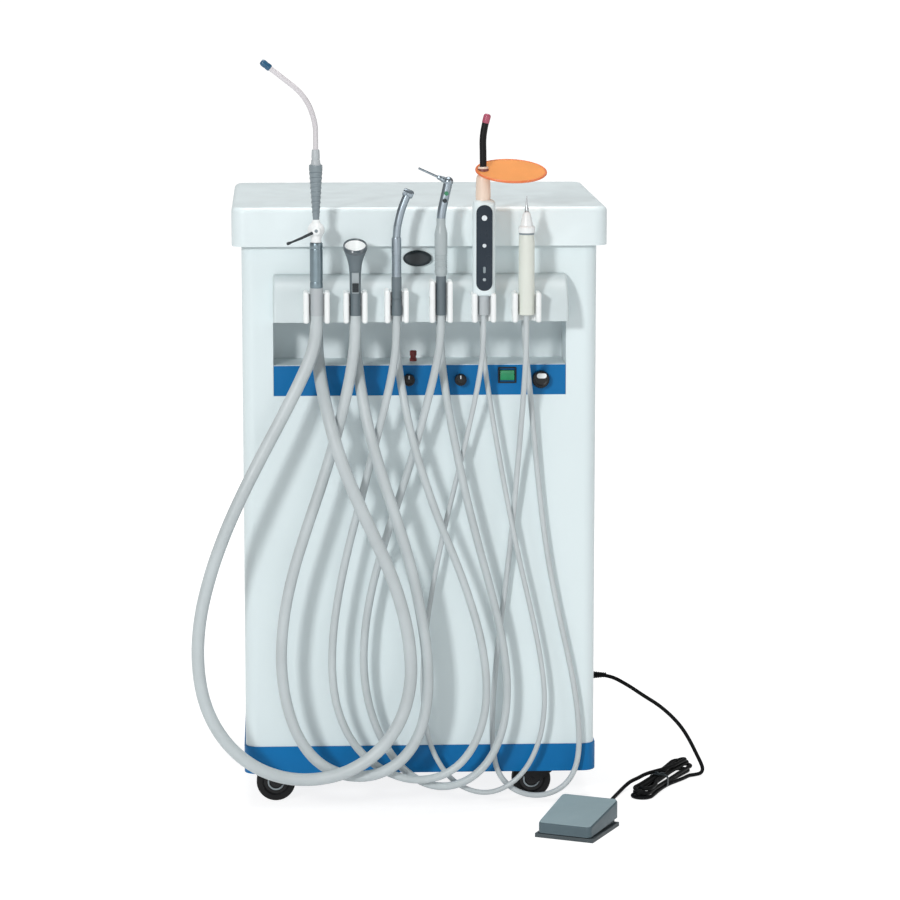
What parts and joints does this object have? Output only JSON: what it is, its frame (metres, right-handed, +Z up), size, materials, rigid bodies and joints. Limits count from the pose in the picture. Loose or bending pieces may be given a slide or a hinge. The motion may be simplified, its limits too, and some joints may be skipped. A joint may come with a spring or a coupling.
{
  "type": "portable dental unit",
  "caption": "Dental delivery cabinet on casters with a hinged lid, hanging instruments on hoses above a control strip, and a foot pedal on a cable.",
  "frame": {"origin": "on the floor under the middle of the cabinet", "axes": "+Z up, -Y out of the front where the instruments hang, +X to the right of someone who faces the front"},
  "size_m": [0.6721, 0.5906, 0.9574],
  "materials": {
    "white_paint": "satin powder coat",
    "white_plastic": "smooth moulded",
    "bay_plastic": "matt liner",
    "blue_plastic": "satin moulded",
    "grey_plastic": "matt",
    "dark_plastic": "matt",
    "black_knob": "gloss",
    "lit_green": "translucent",
    "steel": "brushed",
    "chrome": "polished",
    "zinc": "zinc plated",
    "cast": "as cast",
    "alloy": "satin",
    "tyre_grey": "matt",
    "bottle": "milky",
    "hose_grey": "silicone",
    "cord_grey": "matt",
    "cable_dark": "matt",
    "ejector_dark": "matt",
    "cream": "gloss",
    "clear_tube": "clear",
    "button_green": "gloss",
    "button_blue": "gloss",
    "black_glass": "gloss",
    "orange_shield": "translucent",
    "pedal_grey": "matt",
    "pedal_base": "matt"
  },
  "bodies": {
    "root": {"cabinet_shell": "white_paint", "rear_panel": "white_paint", "base_tray": "blue_plastic", "hose_bay": "bay_plastic", "control_panel": "blue_plastic", "lid_hinges": "steel", "instrument_holder": "white_plastic", "hose_sockets": "chrome", "equipment_deck": "zinc", "air_tank": "alloy", "compressor_motor": "cast", "compressor_heads": "alloy", "bottles": "bottle", "power_supply": "alloy", "valve_block": "alloy", "mains_inlet": "dark_plastic", "cable_gland": "dark_plastic", "ejector_body": "ejector_dark", "ejector_tube": "clear_tube", "suction_handle": "ejector_dark", "handpiece_body": "chrome", "syringe_body": "chrome", "light_body": "white_plastic", "scaler_body": "cream", "scaler_tip": "chrome", "pedal_base": "pedal_base", "ejector_hose": "hose_grey", "suction_hose": "hose_grey", "handpiece_hose": "cord_grey", "syringe_hose": "cord_grey", "light_cord": "cord_grey", "scaler_hose": "cord_grey", "pedal_cable_upper": "cable_dark", "pedal_cable_hank": "cable_dark", "pedal_cable_lower": "cable_dark"},
    "lid": {"top_cover": "white_plastic"},
    "latch": {"lid_latch": "dark_plastic"},
    "scaler_dial": {"scaler_knob": "black_knob"},
    "air_dial": {"air_knob": "grey_plastic"},
    "water_dial": {"water_knob": "grey_plastic"},
    "rocker": {"power_rocker": "lit_green"},
    "fan": {"cooling_fan": "dark_plastic"},
    "lever": {"ejector_lever": "dark_plastic"},
    "slider": {"suction_slider": "grey_plastic"},
    "chuck_button": {"handpiece_cap": "chrome"},
    "nozzle": {"syringe_nozzle": "chrome"},
    "air_button": {"syringe_air_button": "button_green"},
    "water_button": {"syringe_water_button": "button_blue"},
    "light_key": {"light_button": "grey_plastic"},
    "guide": {"light_guide": "black_glass"},
    "shield": {"light_shield": "orange_shield"},
    "treadle": {"pedal_treadle": "pedal_grey"},
    "fork_front_left": {"caster_fork_front_left": "zinc"},
    "wheel_front_left": {"caster_wheel_front_left": "tyre_grey"},
    "fork_front_right": {"caster_fork_front_right": "zinc"},
    "wheel_front_right": {"caster_wheel_front_right": "tyre_grey"},
    "fork_rear_left": {"caster_fork_rear_left": "zinc"},
    "wheel_rear_left": {"caster_wheel_rear_left": "tyre_grey"},
    "fork_rear_right": {"caster_fork_rear_right": "zinc"},
    "wheel_rear_right": {"caster_wheel_rear_right": "tyre_grey"}
  },
  "joints": [
    {"name": "lid_hinge", "type": "hinge", "parent": "root", "child": "lid", "pos_m": [0, 0.205, 0.718], "axis": [-1, 0, 0], "range_deg": [0, 95]},
    {"name": "latch_turn", "type": "hinge", "parent": "root", "child": "latch", "pos_m": [-0.003, -0.188, 0.705], "axis": [0, 1, 0], "range_deg": [0, 90]},
    {"name": "scaler_dial_turn", "type": "hinge", "parent": "root", "child": "scaler_dial", "pos_m": [0.152, -0.188, 0.552], "axis": [0, -1, 0], "range_deg": [0, 270]},
    {"name": "air_dial_turn", "type": "hinge", "parent": "root", "child": "air_dial", "pos_m": [-0.014, -0.188, 0.552], "axis": [0, -1, 0], "range_deg": [0, 270]},
    {"name": "water_dial_turn", "type": "hinge", "parent": "root", "child": "water_dial", "pos_m": [0.051, -0.188, 0.552], "axis": [0, -1, 0], "range_deg": [0, 270]},
    {"name": "rocker_tilt", "type": "hinge", "parent": "root", "child": "rocker", "pos_m": [0.11, -0.1865, 0.557], "axis": [1, 0, 0], "range_deg": [0, 16]},
    {"name": "fan_spin", "type": "hinge", "parent": "root", "child": "fan", "pos_m": [0, 0.13, 0.15], "axis": [0, 1, 0], "continuous": true},
    {"name": "lever_turn", "type": "hinge", "parent": "root", "child": "lever", "pos_m": [-0.13, -0.258, 0.746], "axis": [0, 1, 0], "range_deg": [0, 90]},
    {"name": "slider_travel", "type": "slide", "parent": "root", "child": "slider", "axis": [0, 0, 1], "range_m": [0, 0.01]},
    {"name": "chuck_press", "type": "slide", "parent": "root", "child": "chuck_button", "axis": [0.9181, 0, -0.3964], "range_m": [0, 0.0006], "stiffness_N_per_m": 1500},
    {"name": "nozzle_turn", "type": "hinge", "parent": "root", "child": "nozzle", "pos_m": [0.033, -0.245, 0.805], "axis": [-0.9095, 0, 0.4158], "continuous": true},
    {"name": "air_press", "type": "slide", "parent": "root", "child": "air_button", "axis": [0, 1, 0], "range_m": [0, 0.0015], "stiffness_N_per_m": 400},
    {"name": "water_press", "type": "slide", "parent": "root", "child": "water_button", "axis": [0, 1, 0], "range_m": [0, 0.0015], "stiffness_N_per_m": 400},
    {"name": "light_key_press", "type": "slide", "parent": "root", "child": "light_key", "axis": [0, 1, 0], "range_m": [0, 0.001], "stiffness_N_per_m": 500},
    {"name": "guide_turn", "type": "hinge", "parent": "root", "child": "guide", "pos_m": [0.076, -0.245, 0.806], "axis": [0, 0, 1], "continuous": true},
    {"name": "shield_turn", "type": "hinge", "parent": "root", "child": "shield", "pos_m": [0.076, -0.245, 0.819], "axis": [0, 0, 1], "range_deg": [-90, 90]},
    {"name": "treadle_press", "type": "hinge", "parent": "root", "child": "treadle", "pos_m": [0.17374, -0.35755, 0.0085], "axis": [-0.8988, 0.4384, 0], "range_deg": [0, 3], "stiffness_Nm_per_rad": 2.5, "springref_deg": -4.58},
    {"name": "swivel_front_left", "type": "hinge", "parent": "root", "child": "fork_front_left", "pos_m": [-0.165, -0.145, 0.062], "axis": [0, 0, 1], "continuous": true},
    {"name": "roll_front_left", "type": "hinge", "parent": "fork_front_left", "child": "wheel_front_left", "pos_m": [-0.185, -0.145, 0.025], "axis": [0, 1, 0], "continuous": true},
    {"name": "swivel_front_right", "type": "hinge", "parent": "root", "child": "fork_front_right", "pos_m": [0.165, -0.145, 0.062], "axis": [0, 0, 1], "continuous": true},
    {"name": "roll_front_right", "type": "hinge", "parent": "fork_front_right", "child": "wheel_front_right", "pos_m": [0.145, -0.145, 0.025], "axis": [0, 1, 0], "continuous": true},
    {"name": "swivel_rear_left", "type": "hinge", "parent": "root", "child": "fork_rear_left", "pos_m": [-0.165, 0.145, 0.062], "axis": [0, 0, 1], "continuous": true},
    {"name": "roll_rear_left", "type": "hinge", "parent": "fork_rear_left", "child": "wheel_rear_left", "pos_m": [-0.185, 0.145, 0.025], "axis": [0, 1, 0], "continuous": true},
    {"name": "swivel_rear_right", "type": "hinge", "parent": "root", "child": "fork_rear_right", "pos_m": [0.165, 0.145, 0.062], "axis": [0, 0, 1], "continuous": true},
    {"name": "roll_rear_right", "type": "hinge", "parent": "fork_rear_right", "child": "wheel_rear_right", "pos_m": [0.145, 0.145, 0.025], "axis": [0, 1, 0], "continuous": true}
  ]
}
